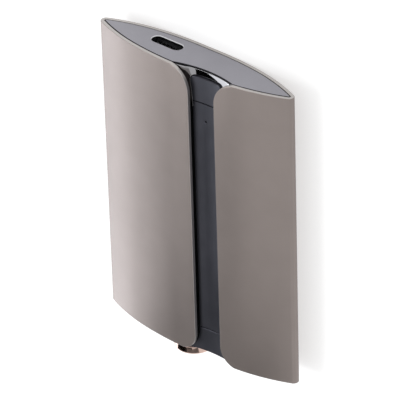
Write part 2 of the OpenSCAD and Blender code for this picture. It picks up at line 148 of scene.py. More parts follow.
# %% the floor
far, paper_shade, paper_glow = 3.0, 0.8, 0.55
floor_mesh = bpy.data.meshes.new("floor")
floor_corners = [(-far, -far, 0), (far, -far, 0), (far, far, 0), (-far, far, 0)]
floor_mesh.from_pydata(floor_corners, [], [(0, 1, 2, 3)])
floor = bpy.data.objects.new("floor", floor_mesh)
scene.collection.objects.link(floor)
paper = bpy.data.materials.new("white_paper")
paper.use_nodes = True
tree = paper.node_tree
tree.nodes.clear()
matt = tree.nodes.new("ShaderNodeBsdfDiffuse")
matt.inputs["Color"].default_value = (paper_shade, paper_shade, paper_shade, 1)
glow = tree.nodes.new("ShaderNodeEmission")
tree.links.new(gate(tree, 0.0, paper_glow), glow.inputs["Strength"])
both = tree.nodes.new("ShaderNodeAddShader")
tree.links.new(matt.outputs[0], both.inputs[0])
tree.links.new(glow.outputs[0], both.inputs[1])
tree.links.new(both.outputs[0], tree.nodes.new("ShaderNodeOutputMaterial").inputs["Surface"])
floor_mesh.materials.append(paper)
print(f"the floor: {2 * far} m wide, glow {paper_glow}")

# %% [markdown]
# Satin metal shows the lamps more than it shows itself, so the lamps draw this drive. A wide
# softbox stands low beside the long left edge with a narrow strip below it, both a little blue
# like daylight, and the bowed left half falls off from light to dark between them. A third hangs
# high and lifts the right half. All are aimed at the lip, the most shining piece. Each is given
# by the direction in which it stands, its distance, its two sizes and its radiance, since a
# radiance looks the same in a mirror whatever the lamp's size.

# %% the softboxes
aim = place(7, 76, 3)


def facing(towards, away, roll):
    """A turn and a place for something that hangs in a direction and faces the drive."""
    d = Vector(towards).normalized()
    turn = d.to_track_quat("Z", "Y").to_matrix().to_4x4()
    return Matrix.Translation(aim + d * away) @ turn @ Matrix.Rotation(math.radians(roll), 4, "Z")


def softbox(name, towards, away, wide, high, roll, radiance, tint=(1, 1, 1)):
    """An evenly lit rectangle. Its power follows from its radiance and its size."""
    lamp = bpy.data.lights.new(name, "AREA")
    lamp.color = tint
    lamp.shape = "RECTANGLE"
    lamp.size, lamp.size_y = wide, high
    lamp.energy = radiance * math.pi * wide * high
    holder = bpy.data.objects.new(name, lamp)
    holder.matrix_world = facing(towards, away, roll)
    holder.visible_camera = False
    scene.collection.objects.link(holder)
    print(f"{name}: {lamp.energy:.2f} W")


daylight = (0.95, 0.98, 1.05)
softbox("side_softbox", (-0.83, -0.58, 0.28), 0.45, 0.28, 0.36, 25, 1.0, daylight)
softbox("edge_strip", (-0.87, -0.48, 0.10), 0.45, 0.30, 0.08, 0, 1.9, daylight)
softbox("top_softbox", (-0.50, -0.15, 0.85), 0.50, 0.25, 0.25, 25, 3.0)

# %% [markdown]
# A polished piece has no look of its own: it shows the room. In the photograph the lip is black
# in its middle and the stud has a dark band, because something dark hung there. So three cards
# hang where the lip, the foot of the strips and the stud look. They could be real black walls,
# but those would darken everything, so mirrors alone see them and they throw no shadow. A card's
# corners are directions from the piece, as one would hold it up while looking at that piece.


# %% the cards
def cloth(name, shade):
    """A plain dull cloth or board that doesn't shine."""
    made = bpy.data.materials.new(name)
    made.use_nodes = True
    shader = made.node_tree.nodes["Principled BSDF"]
    shader.inputs["Base Color"].default_value = (shade, shade, shade, 1)
    shader.inputs["Specular IOR Level"].default_value = 0.0
    return made


def card(name, made_of, seen_from, away, corners):
    """A card for the mirrors alone, its corners given as directions from a point on the drive."""
    mesh = bpy.data.meshes.new(name)
    mesh.from_pydata([seen_from + Vector(c).normalized() * away for c in corners], [],
                     [tuple(range(len(corners)))])
    mesh.materials.append(made_of)
    hung = bpy.data.objects.new(name, mesh)
    scene.collection.objects.link(hung)
    hung.visible_camera = hung.visible_diffuse = False
    hung.visible_shadow = hung.visible_transmission = False
    print(f"{name}: {len(corners)} corners, {away * 1000:.0f} mm away")


velvet, grey_board = cloth("black_velvet", 0.004), cloth("grey_board", 0.35)
card("lip_card", velvet, aim, 0.30,
     [(-0.40, -0.87, 0.38), (-0.74, -0.462, 0.495), (-0.76, -0.36, 0.525),
      (-0.20, -0.36, 0.90), (-0.215, -0.45, 0.84), (-0.34, -0.90, 0.36)])
card("foot_card", velvet, place(7, 4, 3), 0.09,
     [(-0.85, -0.60, 0.22), (-0.75, -0.42, 0.50), (0.30, -0.42, 0.85), (0.30, -0.66, 0.66)])
card("stud_card", grey_board, place(0, -2, 0), 0.025,
     [(-0.12, -0.75, 0.70), (-0.12, -0.35, 0.90), (0.72, -0.35, 0.55), (0.72, -0.75, 0.30)])

# %% [markdown]
# The section is an eye: a narrow flat, then three arcs that hand over without a kink, down to the
# tight radius of the long edge. Measured along its own length, every point of the bent sheet has
# one number, which is how a sheet-metal worker would lay it out flat. The same arcs serve the
# sheet's inside and the end caps, because an inset only shortens the radii.

# %% the eye section
flat_w, edge_r = 6.0, 1.3
face_turn, edge_turn = math.radians(8.3), math.radians(23.3)
span = half_w - flat_w / 2 - edge_r * (1 - math.sin(edge_turn))
rise = half_t - edge_r * math.cos(edge_turn)
mid_sin, mid_drop = math.sin(face_turn), 1 - math.cos(face_turn)
side_sin = math.sin(edge_turn) - math.sin(face_turn)
side_drop = math.cos(face_turn) - math.cos(edge_turn)
arc_det = mid_sin * side_drop - side_sin * mid_drop
face_r = (span * side_drop - side_sin * rise) / arc_det
side_r = (mid_sin * rise - span * mid_drop) / arc_det


def heading(turn):
    """The direction that leans away from the crest by a turn."""
    return Vector((math.sin(turn), math.cos(turn)))


mid_centre = Vector((flat_w / 2, half_t - face_r))
side_centre = mid_centre + (face_r - side_r) * heading(face_turn)
edge_centre = side_centre + (side_r - edge_r) * heading(edge_turn)
arcs = [(mid_centre, face_r, 0.0, face_turn), (side_centre, side_r, face_turn, edge_turn),
        (edge_centre, edge_r, edge_turn, math.pi / 2)]
quarter_l = flat_w / 2 + sum(r * (b - a) for _, r, a, b in arcs)
print(f"face radius {face_r:.1f}, shoulder radius {side_r:.1f}, way round {4 * quarter_l:.1f} mm")

# %% [markdown]
# A point is found by walking: along half the flat, then along each arc in turn. That covers one
# quarter, and mirrors give the other three. Points for a mesh are then stepped off along the way,
# closely round the tight long edges and widely over the calm faces, which keeps the faces smooth
# and the mesh light.


# %% a point on the section, by its way round
def quarter_point(way):
    """Point and outward normal, from the middle of the flat to the long edge."""
    if way <= flat_w / 2:
        return Vector((way, half_t)), Vector((0, 1))
    way -= flat_w / 2
    for centre, r, a, b in arcs:
        if way <= r * (b - a) or r == edge_r:
            n = heading(min(a + way / r, b))
            return centre + r * n, n
        way -= r * (b - a)


def section(way, inset=0.0):
    """A point of the closed section: the way runs from the crest over the right edge and back."""
    turn, rest = divmod(way, quarter_l)
    k = int(turn) % 4
    p, n = quarter_point(rest if k % 2 == 0 else quarter_l - rest)
    p = p - inset * n
    return (p.x if k < 2 else -p.x), (p.y if k in (0, 3) else -p.y)


print("crest at", [round(v, 2) for v in section(0)])
print("right edge at", [round(v, 2) for v in section(quarter_l)])


# %% steps along the section
def way_at(x):
    """The way to a place on the crest side, as far out as the middle arc goes."""
    beyond = max(0.0, abs(x) - flat_w / 2)
    way = min(abs(x), flat_w / 2) + face_r * math.asin(beyond / face_r)
    return math.copysign(way, x)


tight_step, near_step, wide_step, least_step = 0.24, 0.7, 1.6, 0.8
tight_half, near_half = edge_r * 1.35, 6.0


def stations(start, end):
    """Ways between two places, close together round the long edges and wide apart on the faces."""
    ways, way = [start], start
    while True:
        turn, rest = divmod(way, quarter_l)
        from_edge = quarter_l - rest if int(turn) % 2 == 0 else rest
        near = from_edge < near_half
        way += tight_step if from_edge < tight_half else near_step if near else wide_step
        if way >= end - least_step:
            return ways + [end]
        ways.append(way)


print(len(stations(0, 4 * quarter_l)), "stations all the way round")

# %% [markdown]
# Most pieces here are sheets and strips, so most start as rows of points that become a grid of
# four-sided faces. Solidify gives the sheet its thickness, Bevel breaks the sharp edges as a
# tumbled or machined edge is, and Weighted Normal keeps the wide faces calm beside them.


# %% a grid of points, made thick and softened
def piece_from(name, points, faces):
    """An object from points in scene metres and faces that name them by number."""
    mesh = bpy.data.meshes.new(name)
    mesh.from_pydata(points, [], faces)
    piece = bpy.data.objects.new(name, mesh)
    scene.collection.objects.link(piece)
    return piece


def grid(name, rows):
    """A surface from rows of equally many points."""
    wide = len(rows[0])
    faces = [(r * wide + c, r * wide + c + 1, (r + 1) * wide + c + 1, (r + 1) * wide + c)
             for r in range(len(rows) - 1) for c in range(wide - 1)]
    return piece_from(name, [p for row in rows for p in row], faces)


def thicken(piece, amount):
    """Makes a surface a sheet of some millimetres, grown inward."""
    sheet = piece.modifiers.new("thickness", "SOLIDIFY")
    sheet.thickness = amount * MM
    sheet.offset = -1
    sheet.use_even_offset = True


def soften(piece, width, steps=3, angle=40):
    """Breaks all sharp edges by a width in millimetres."""
    edge = piece.modifiers.new("broken_edges", "BEVEL")
    edge.width = width * MM
    edge.segments = steps
    edge.limit_method = "ANGLE"
    edge.angle_limit = math.radians(angle)
    edge.use_clamp_overlap = False
    edge.loop_slide = False
    calm(piece)


def calm(piece):
    """Lets the wide faces rule the shading beside their narrow broken edges."""
    piece.modifiers.new("calm_faces", "WEIGHTED_NORMAL").keep_sharp = False


# %% [markdown]
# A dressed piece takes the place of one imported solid. It hides that solid, rides on the same
# rigid body and belongs to one of five outer finishes, so that someone can recolour the metal
# without touching the strips.


def fit(piece, node, *finishes):
    """The dressed piece stands for its solid, with one or more finishes of its own."""
    piece.data.shade_smooth()
    piece.data.materials.clear()
    for made in finishes:
        piece.data.materials.append(made)
    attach(piece, "root")
    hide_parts(node)
    print(f"{piece.name}: {len(piece.data.polygons)} faces")

# %% [markdown]
# ## Finishes
# Every finish starts from one Principled shader whose plain values are set on its own sockets.
# Only what varies over the surface comes through nodes: a colour that drifts a little, a
# roughness with faint smears, and a bump with the grain. All read object coordinates, in
# metres, so a grain keeps its real size on every piece. An image could hold the same marks, but
# noise needs no unwrapping and stays sharp however close one looks.

# %% the shader
MICRON = 0.000001


def finish(name, colour, metallic, roughness, **plain):
    """A Principled shader with its plain values set."""
    made = bpy.data.materials.new(name)
    made.use_nodes = True
    shader = made.node_tree.nodes["Principled BSDF"]
    shader.inputs["Base Color"].default_value = (*colour, 1)
    shader.inputs["Metallic"].default_value = metallic
    shader.inputs["Roughness"].default_value = roughness
    for socket, value in plain.items():
        shader.inputs[socket.replace("_", " ")].default_value = value
    print(f"finish {name}: metallic {metallic}, roughness {roughness}")
    return made, made.node_tree, shader


# %% what varies over a surface
def grain(tree, scale, detail=3.0, stretch=(1, 1, 1)):
    """Noise in object metres. A stretch under 1 on an axis draws the grain out along it."""
    where = tree.nodes.new("ShaderNodeTexCoord")
    sized = tree.nodes.new("ShaderNodeMapping")
    sized.inputs["Scale"].default_value = stretch
    noise = tree.nodes.new("ShaderNodeTexNoise")
    noise.inputs["Scale"].default_value = scale
    noise.inputs["Detail"].default_value = detail
    tree.links.new(where.outputs["Object"], sized.inputs["Vector"])
    tree.links.new(sized.outputs["Vector"], noise.inputs["Vector"])
    return noise.outputs["Fac"]


def between(tree, factor, low, high, socket, at=(0.35, 0.65)):
    """Leads a factor to a socket as a value or a colour that runs between two ends."""
    if isinstance(low, tuple):
        ramp = tree.nodes.new("ShaderNodeValToRGB")
        for stop, where, colour in zip(ramp.color_ramp.elements, at, (low, high)):
            stop.position = where
            stop.color = (*colour, 1)
        tree.links.new(factor, ramp.inputs["Fac"])
        tree.links.new(ramp.outputs["Color"], socket)
    else:
        spread = tree.nodes.new("ShaderNodeMapRange")
        for name, value in zip(("From Min", "From Max", "To Min", "To Max"), (*at, low, high)):
            spread.inputs[name].default_value = value
        tree.links.new(factor, spread.inputs["Value"])
        tree.links.new(spread.outputs["Result"], socket)


def relief(tree, shader, height, depth, under=None):
    """Bumps a surface by a depth in metres, over another bump if there is one."""
    bump = tree.nodes.new("ShaderNodeBump")
    bump.inputs["Distance"].default_value = depth
    tree.links.new(height, bump.inputs["Height"])
    if under is not None:
        tree.links.new(under, bump.inputs["Normal"])
    tree.links.new(bump.outputs["Normal"], shader.inputs["Normal"])
    return bump.outputs["Normal"]


def drift(colour, by):
    """A colour a little darker and a little lighter than its mean."""
    return tuple(c * (1 - by) for c in colour), tuple(c * (1 + by) for c in colour)


# %% [markdown]
# The sheet and the end caps are aluminium, blasted with fine glass beads and then anodised. The
# blasting leaves pits of about a tenth of a millimetre that spread the light. The dye takes
# slightly unevenly, in clouds several millimetres wide. Fingers and pockets leave the faintest
# smears, which show in the roughness and not in the colour. The sheet's cut edge and the chamfer
# round the plug's opening are painted lighter, a painted highlight for the light their edges catch.
# The cap's rim, its thin edge over the lip and the opening's wall are painted black as painted shade.


# %% blasted and anodised aluminium
def blasted(name, colour, roughness, metallic=0.85):
    """Metal with fine pits in two sizes and faint upright smears."""
    made, tree, shader = finish(name, colour, metallic, roughness)
    low, high = drift(colour, 0.02)
    between(tree, grain(tree, 160, 4), low, high, shader.inputs["Base Color"])
    between(tree, grain(tree, 90, 5, (1, 0.35, 1)), roughness - 0.012, roughness + 0.018,
            shader.inputs["Roughness"])
    pits = relief(tree, shader, grain(tree, 22000, 2), 3 * MICRON)
    relief(tree, shader, grain(tree, 9000, 2), 2 * MICRON, pits)
    return made


taupe_sheet = blasted("taupe_blasted_aluminium", (0.281, 0.243, 0.228), 0.42)
grey_cap = blasted("grey_blasted_aluminium", (0.312, 0.306, 0.336), 0.44)
# painted highlight: a lighter colour for the sheet's cut edge, for the light its rim catches
painted_highlight_rim = blasted("painted_highlight_on_the_sheet_rim", (0.47, 0.445, 0.43), 0.36)
# painted shade: a black finish for the gap round the socket's cap, under its thin edge and in its
# slot
painted_shade_black = blasted("painted_shade_on_the_cap", (0.012, 0.012, 0.014), 0.45)
# painted highlight: a light colour for the chamfer round the plug's opening
painted_highlight_chamfer = blasted("painted_highlight_on_the_chamfer", (0.66, 0.66, 0.68), 0.24)

# %% [markdown]
# The strips in the trough are a darker, bluer grey with a finer, silkier surface, as a painted or
# plated moulding has. The lip above them is polished smoked metal, so smooth that it only shows
# what stands round it: its finish is a tinted mirror, with the slight waviness of a pressed band.
# A black paint under a clear coat would also look dark, but it wouldn't show the softbox as
# brightly as the photograph does.

# %% satin strip and polished lip
satin_colour = (0.082, 0.084, 0.103)
satin_strip, tree, shader = finish("satin_dark_strip", satin_colour, 0.75, 0.34)
between(tree, grain(tree, 240, 4), *drift(satin_colour, 0.05), shader.inputs["Base Color"])
between(tree, grain(tree, 120, 4, (1, 0.2, 1)), 0.315, 0.37, shader.inputs["Roughness"])
relief(tree, shader, grain(tree, 26000, 2), MICRON)

polished_lip, tree, shader = finish("polished_black_lip", (0.31, 0.307, 0.318), 1.0, 0.05)
between(tree, grain(tree, 300, 2), 0.035, 0.07, shader.inputs["Roughness"])
relief(tree, shader, grain(tree, 140, 1), 6 * MICRON)

# %% [markdown]
# The stud is turned on a lathe and polished, then plated in rose gold. Turning leaves rings about
# the axis. A ring texture exists, but the distance to the axis, fed to a sine, gives the pitch
# in real millimetres, and it is how the tool moved too.


# %% rings about an axis
def turned_rings(tree, axis_x, axis_z, pitch):
    """A wave that runs outward from an axis along the drive's length."""
    where = tree.nodes.new("ShaderNodeTexCoord")
    centred = tree.nodes.new("ShaderNodeMapping")
    centred.inputs["Location"].default_value = (-axis_x, 0, -axis_z)
    centred.inputs["Scale"].default_value = (1, 0, 1)
    length = tree.nodes.new("ShaderNodeVectorMath")
    length.operation = "LENGTH"
    rings = tree.nodes.new("ShaderNodeMath")
    rings.operation = "MULTIPLY"
    rings.inputs[1].default_value = 2 * math.pi / pitch
    wave = tree.nodes.new("ShaderNodeMath")
    wave.operation = "SINE"
    tree.links.new(where.outputs["Object"], centred.inputs["Vector"])
    tree.links.new(centred.outputs["Vector"], length.inputs[0])
    tree.links.new(length.outputs["Value"], rings.inputs[0])
    tree.links.new(rings.outputs[0], wave.inputs[0])
    return wave.outputs[0]


# %% polished rose gold
stud_x, stud_h = -3.3, 2.8
stud_axis = place(stud_x, 0, 0)
ring_pitch = 0.12 * MM
rose_colour = (0.64, 0.47, 0.41)
rose_gold, tree, shader = finish("polished_rose_gold", rose_colour, 1.0, 0.10)
between(tree, grain(tree, 500, 3), *drift(rose_colour, 0.03), shader.inputs["Base Color"])
between(tree, grain(tree, 700, 4), 0.07, 0.14, shader.inputs["Roughness"])
relief(tree, shader, turned_rings(tree, stud_axis.x, stud_axis.z, ring_pitch), 1.2 * MICRON)

# %% [markdown]
# ## The sleeve
# The real sleeve is one sheet, bent round a former until its two edges face each other across the
# groove. It could be a solid block with a pocket cut out, but a sheet is truer: rows of points
# follow the section from the right free edge round the back to the left one. At both ends the
# free edges flare into wide round corners, so each row starts and stops a little further out,
# and the columns near the groove shift with it.

# %% where the free edges stand
groove_w, groove_x = 7.8, 6.2
flare_usb, flare_stud, flare_lift = 6.6, 5.2, 0.12
corner_steps, long_steps, steepest = 11, 24, 0.01


def flare(y, reach=0.0):
    """How far out a free edge stands at a height y, for an edge grown by a reach."""
    for r, centre, beyond in ((flare_usb, body_l - flare_usb + flare_lift, y),
                              (flare_stud, body_l - flare_stud + flare_lift, body_l - y)):
        if beyond > centre:
            run = min(beyond - centre, math.sqrt((r - reach) ** 2 - steepest))
            return r - math.sqrt((r - reach) ** 2 - run * run)
    return reach


def flare_rows(r, far):
    """Heights of the rows in a corner, by equal turns, from where it starts to the sheet's end."""
    last = math.acos((r - flare_lift) / r)
    turns = [math.pi / 2 + (last - math.pi / 2) * i / corner_steps for i in range(corner_steps + 1)]
    return [far(r - flare_lift - r * math.cos(a)) for a in turns]


usb_rows = flare_rows(flare_usb, lambda d: body_l - d)
stud_rows = flare_rows(flare_stud, lambda d: d)[::-1]
straight_l = usb_rows[0] - stud_rows[-1]
straight_rows = [stud_rows[-1] + straight_l * i / long_steps for i in range(1, long_steps)]
sheet_rows = stud_rows + straight_rows + usb_rows
print(len(sheet_rows), "rows, a corner opens by", round(flare(body_l), 2), "mm")

# %% [markdown]
# The rows become one open surface on the sheet's outside, and Solidify makes it a sheet by
# growing it inward. Its rim is the cut edge, and the rim takes a lighter colour, a painted highlight.

# %% the bent sheet
left_edge, right_edge = groove_x - groove_w / 2, groove_x + groove_w / 2
ways = stations(way_at(right_edge), 4 * quarter_l + way_at(left_edge))
sheet_t, margin = 0.9, 11.0


def sheet_row(y):
    """One row of the sheet. Only the columns within a margin of the groove shift with the flare."""
    out = flare(y)
    row = []
    for way in ways:
        from_right, from_left = way - ways[0], ways[-1] - way
        way += out * max(0.0, 1 - from_right / margin) - out * max(0.0, 1 - from_left / margin)
        x, z = section(way)
        row.append(place(x, y, z))
    return row


sleeve = grid("bent_sleeve", [sheet_row(y) for y in sheet_rows])
thicken(sleeve, sheet_t)
soften(sleeve, 0.10)
# the rim takes the second finish, a painted highlight
sleeve.modifiers["thickness"].material_offset_rim = 1
fit(sleeve, "sleeve", taupe_sheet, painted_highlight_rim)

# %% [markdown]
# ## The trough
# Lip and strips line one hollow trough, a cylinder whose axis runs up the length. Under the sheet
# the sheet's inside cuts them off. A Boolean could trim them there, but it would leave ragged
# faces. So a point of the lining is worked out as the lower of two heights: the trough's floor,
# or the section set in by the sheet and its gap.

# %% the trough's floor
scoop_r, scoop_x, scoop_depth = 29.2, 7.0, 2.7
scoop_z = half_t - scoop_depth + scoop_r
strip_r, strip_t = scoop_r - 0.3, 1.1
cap_inset = sheet_t + 0.2


def crest_z(x, inset):
    """Height of the section's crest side at x, set in by an inset."""
    beyond = max(0.0, abs(x) - flat_w / 2)
    return mid_centre.y + math.sqrt((face_r - inset) ** 2 - beyond ** 2)


def floor_z(x, r):
    """Height at x of a trough of radius r."""
    return scoop_z - math.sqrt(max(0.0, r * r - (x - scoop_x) ** 2))


def lining(x, y, r):
    """A point of the lining: on the trough, or under the sheet where that is lower."""
    return place(x, y, min(floor_z(x, r), crest_z(x, cap_inset)))


print(f"floor {floor_z(groove_x, strip_r):.2f} over the middle plane, crest {half_t:.2f}")


# %% [markdown]
# A strip is a grid too. Its rows follow the plan seen from the front: straight flanks, and round
# corners whose rows stand close together.

# %% strips from their plan
foot_steps, head_steps, flank_step = 5, 6, 2.5


def plate_rows(y0, y1, foot_half, head_half, foot_r, head_r):
    """Heights and half widths of a plate with round corners."""
    foot = [(y0 + foot_r * (1 - math.cos(a)), foot_half - foot_r * (1 - math.sin(a)))
            for a in [math.pi / 2 * i / foot_steps for i in range(foot_steps + 1)]]
    head = [(y1 - head_r * (1 - math.sin(a)), head_half - head_r * (1 - math.cos(a)))
            for a in [math.pi / 2 * i / head_steps for i in range(head_steps + 1)]]
    y_a, y_b = foot[-1][0], head[0][0]
    steps = max(2, round((y_b - y_a) / flank_step))
    flank = [(y_a + (y_b - y_a) * i / steps, foot_half + (head_half - foot_half) * i / steps)
             for i in range(1, steps)]
    return foot + flank + head


def centred(rows):
    """The same rows as height, left and right, about the groove's middle."""
    return [(y, groove_x - half, groove_x + half) for y, half in rows]


def strip(name, rows, columns=16):
    """A strip of the lining from rows of height, left and right."""
    made = grid(name, [[lining(left + (right - left) * c / columns, y, strip_r)
                        for c in range(columns + 1)] for y, left, right in rows])
    thicken(made, strip_t)
    print(f"{name}: {len(rows)} rows")
    return made


# %% [markdown]
# Holes could be painted on, but a real hole casts a real shadow and has a wall. A Boolean takes a
# tool's shape out of a piece, and it is applied at once, so that only the faces that stay are
# there when the edges are broken.


# %% cut a tool's shape out of a piece
def cut(piece, tool):
    """Takes a tool's shape out of a piece, for good, and clears the tool away."""
    hole = piece.modifiers.new("hole", "BOOLEAN")
    hole.object = tool
    hole.solver = "EXACT"
    bpy.context.view_layer.update()
    settled = piece.evaluated_get(bpy.context.evaluated_depsgraph_get())
    piece_mesh = bpy.data.meshes.new_from_object(settled)
    piece.modifiers.clear()
    piece.data = piece_mesh
    bpy.data.objects.remove(tool)
    print(f"{piece.name}: cut, now {len(piece.data.polygons)} faces")


def rod(middle, radius, length, axis, sides=32):
    """A round rod, to cut with or to join on."""
    tool = bmesh.new()
    turn = Vector(axis).to_track_quat("Z", "Y").to_matrix().to_4x4()
    bmesh.ops.create_cone(tool, cap_ends=True, segments=sides, radius1=radius * MM,
                          radius2=radius * MM, depth=length * MM,
                          matrix=Matrix.Translation(middle) @ turn)
    mesh = bpy.data.meshes.new("rod")
    tool.to_mesh(mesh)
    tool.free()
    made = bpy.data.objects.new("rod", mesh)
    scene.collection.objects.link(made)
    return made


# %% [markdown]
# Three separate strips fill the trough, with hairline seams between them. One long strip with
# drawn lines would look the same from afar, but seams are real gaps that catch real shadows. The
# upper strip widens to a round head, the long one has a pin-hole for the status light, and the
# lower one flares with the sheet's corners, a little under their edge.

# %% the upper and the long strip
seam, half_groove = 0.2, groove_w / 2
trim_head, trim_foot = body_l - 2.3, body_l - 9.1 + seam / 2
panel_head, panel_foot = trim_foot - seam, 6.7 + seam / 2
strip_half, wide_half = half_groove + 0.2, half_groove + 0.7
corner_r, wide_r = 0.4, 1.3
upper = strip("upper_trim_strip",
              centred(plate_rows(trim_foot, trim_head, strip_half, wide_half, corner_r, wide_r)))
spine = strip("spine_strip",
              centred(plate_rows(panel_foot, panel_head, strip_half, strip_half, corner_r, corner_r)))
light_x, light_y, light_r = 5.7, body_l - 14.0, 0.3
cut(spine, rod(lining(light_x, light_y, strip_r), light_r, 6, (0, 0, 1), 24))

# %% the lower strip, and the finish of all three
foot_rows = [y for y in stud_rows if y < panel_foot - 0.3] + [5.6, 6.1, panel_foot - 0.2]
foot_rows[0] = 0.0
tuck, even_foot = 0.3, 0.25


def foot_reach(y):
    """How far the lower strip stands out at a height y, tucked a little under the flare."""
    return flare(max(y, even_foot), tuck)


lower = strip("lower_trim_strip",
              [(y, left_edge - foot_reach(y), right_edge + foot_reach(y)) for y in foot_rows])
for made, node in ((upper, "upper_trim"), (spine, "spine_panel"), (lower, "lower_trim")):
    soften(made, 0.1)
    fit(made, node, satin_strip)

# %% [markdown]
# The polished lip is a horseshoe, pressed from thin sheet. It wraps the head of the upper strip
# and leaves its foot open. Its surface is a ladder: an inner path round the strip's pocket, an
# outer path under the sheet and the end cap, and rungs between them that all lie on the trough.
# A ladder keeps its faces in line with the horseshoe, which a flat plate with a hole wouldn't.

# %% the lip's two paths
gap, lip_foot, half_steps = 0.2, body_l - 11.0, 8
pocket_half = strip_half + gap
pocket_head = plate_rows(trim_foot, trim_head + gap, pocket_half, wide_half + gap, corner_r,
                         wide_r + gap)
pocket = [(lip_foot, pocket_half), (trim_foot + gap, pocket_half)] + pocket_head[foot_steps + 1:]
head_y, head_half = pocket[-1]
across = [(groove_x + head_half * (i / half_steps - 1), head_y) for i in range(1, 2 * half_steps)]
up_left = [(groove_x - half, y) for y, half in pocket]
down_right = [(groove_x + half, y) for y, half in pocket[::-1]]
inner = (up_left + across + down_right)[::-1]

lip_head, legs_end = body_l - 0.38, trim_head - 1.2
under_left, under_right, spread = -3.4, 15.0, 0.25
outer = []
for x, y in inner:
    if y > legs_end:
        share = (x - inner[-1][0]) / (inner[0][0] - inner[-1][0])
        outer.append((under_left + (under_right - under_left) * share, lip_head))
    else:
        outer.append((under_left if x < groove_x else under_right, y + (y - inner[0][1]) * spread))
print(len(inner), "rungs round the horseshoe")

# %% [markdown]
# A mirror shows every tenth of a millimetre. The photograph's lip has a dark middle and one
# white patch, so its head dips into a shallow cove whose slope looks past the black card. Its
# left end rolls up a little, as otherwise it would show nothing but the sheet's own underside.

# %% the lip's surface
rungs, lip_sheet = 12, 0.38
cove_r, dip = 9.0, 0.2
roll_x, roll = 4.6, 0.03
cove_foot = lip_head - cove_r * math.sin(math.acos(1 - dip / cove_r))


def lip_point(a, b, share):
    """A point between the two paths, on the trough, in the cove and rolled up at the left."""
    x, y = (a[i] + (b[i] - a[i]) * share for i in (0, 1))
    turn = math.asin(min(1, max(0.0, y - cove_foot) / cove_r))
    low = floor_z(x, scoop_r + dip - cove_r * (1 - math.cos(turn)))
    return place(x, y, min(low + roll * max(0.0, roll_x - x) ** 2, crest_z(x, cap_inset)))


lip = grid("horseshoe_lip", [[lip_point(a, b, i / rungs) for i in range(rungs + 1)]
                             for a, b in zip(inner, outer)])
thicken(lip, lip_sheet)
soften(lip, 0.06)
fit(lip, "scoop_lip", polished_lip)

# %% [markdown]
# ## The end caps
# Each end is closed by a milled plate that sits inside the sheet with a hair's gap all round. Its
# outline is the section set in, with a bite out of it where the trough runs through. It could
# be cut from a block with two tools, but its outline is known from formulas: a ring of points,
# where the bite has the radius that is asked for.

# %% the outline of an end cap
seat_r = strip_r + strip_t + 0.05
bite_steps, halvings, beyond_bite = 30, 50, 13


def trough_meets(side, r):
    """Where the trough of a radius cuts the inset crest, left (-1) or right (1) of its axis."""
    low, high = scoop_x, scoop_x + side * beyond_bite
    for _ in range(halvings):
        x = (low + high) / 2
        low, high = (x, high) if floor_z(x, r) < crest_z(x, cap_inset) else (low, x)
    return low


seat_left, seat_right = trough_meets(-1, seat_r), trough_meets(1, seat_r)
cap_ways = stations(way_at(seat_right), 4 * quarter_l + way_at(seat_left))


def cap_ring(r, y):
    """The outline at a height y, with a bite of radius r. Every ring has equally many points."""
    left, right = trough_meets(-1, r), trough_meets(1, r)
    around = [section(way, cap_inset)
              for way in (way_at(right), *cap_ways[1:-1], 4 * quarter_l + way_at(left))]
    bite = [(x, floor_z(x, r))
            for x in [left + (right - left) * i / bite_steps for i in range(1, bite_steps)]]
    return [place(x, y, z) for x, z in around + bite]


print(f"the bite runs from {seat_left:.1f} to {seat_right:.1f} mm")
print(len(cap_ways), "points round the back")

# %% [markdown]
# A plate is then a stack of rings with a face at each end. A ring that repeats a height with
# another bite makes a ledge, and two heights with unlike bites make a slanted edge.


# %% closed solids from rings
@contextmanager
def reworked(piece):
    """Lends a piece's mesh for editing and puts it back."""
    work = bmesh.new()
    work.from_mesh(piece.data)
    yield work
    work.to_mesh(piece.data)
    work.free()


def stack(name, rings):
    """A closed solid from rings of equally many points."""
    n = len(rings[0])
    faces = [tuple(range(n)), tuple(n * len(rings) - 1 - i for i in range(n))]
    for k in range(len(rings) - 1):
        faces += [(n * k + i, n * (k + 1) + i, n * (k + 1) + (i + 1) % n, n * k + (i + 1) % n)
                  for i in range(n)]
    made = piece_from(name, [p for ring in rings for p in ring], faces)
    with reworked(made) as work:
        bmesh.ops.remove_doubles(work, verts=work.verts, dist=1e-7)
        bmesh.ops.recalc_face_normals(work, faces=work.faces)
    return made


def join(piece, others):
    """Adds closed parts that are milled or pressed onto a piece."""
    with reworked(piece) as work:
        for other in others:
            work.from_mesh(other.data)
            bpy.data.objects.remove(other)


# %% [markdown]
# A milling cutter leaves sharp edges, and they are broken by hand or with a chamfer tool, each by
# its own amount. A Bevel modifier treats all edges alike, so here a test picks them by where
# their two ends lie on the drive, in millimetres.


# %% break chosen edges
def on_drive(co):
    """The way back from a point of the frame to millimetres on the drive."""
    return Vector((co.x / MM, (co.y - sleeve_low.y) / MM, (co.z - sleeve_low.z) / MM - half_t))


def sharp_edges(work, angle):
    """The edges between two faces that turn by more than an angle in degrees."""
    return [e for e in work.edges
            if len(e.link_faces) == 2 and e.calc_face_angle(0) > math.radians(angle)]


def break_edges(piece, width, chosen, steps=3):
    """Rounds the sharp edges that a test picks by their two ends, given in millimetres."""
    with reworked(piece) as work:
        picked = [e for e in sharp_edges(work, 40) if chosen(*[on_drive(v.co) for v in e.verts])]
        bmesh.ops.bevel(work, geom=picked, offset=width * MM, segments=steps, profile=0.5,
                        affect="EDGES", clamp_overlap=True)
    print(f"{piece.name}: {len(picked)} edges broken by {width} mm")


def soften_rim(piece, width):
    """Rounds every sharp edge of a small closed part."""
    with reworked(piece) as work:
        bmesh.ops.bevel(work, geom=sharp_edges(work, 50), offset=width * MM, segments=2,
                        profile=0.5, affect="EDGES")


# %% [markdown]
# On their inside both caps carry two pegs that find their holes in the core, and two ribs that
# stop the board. Nobody sees them in the picture, but they turn up when the cap is taken off.

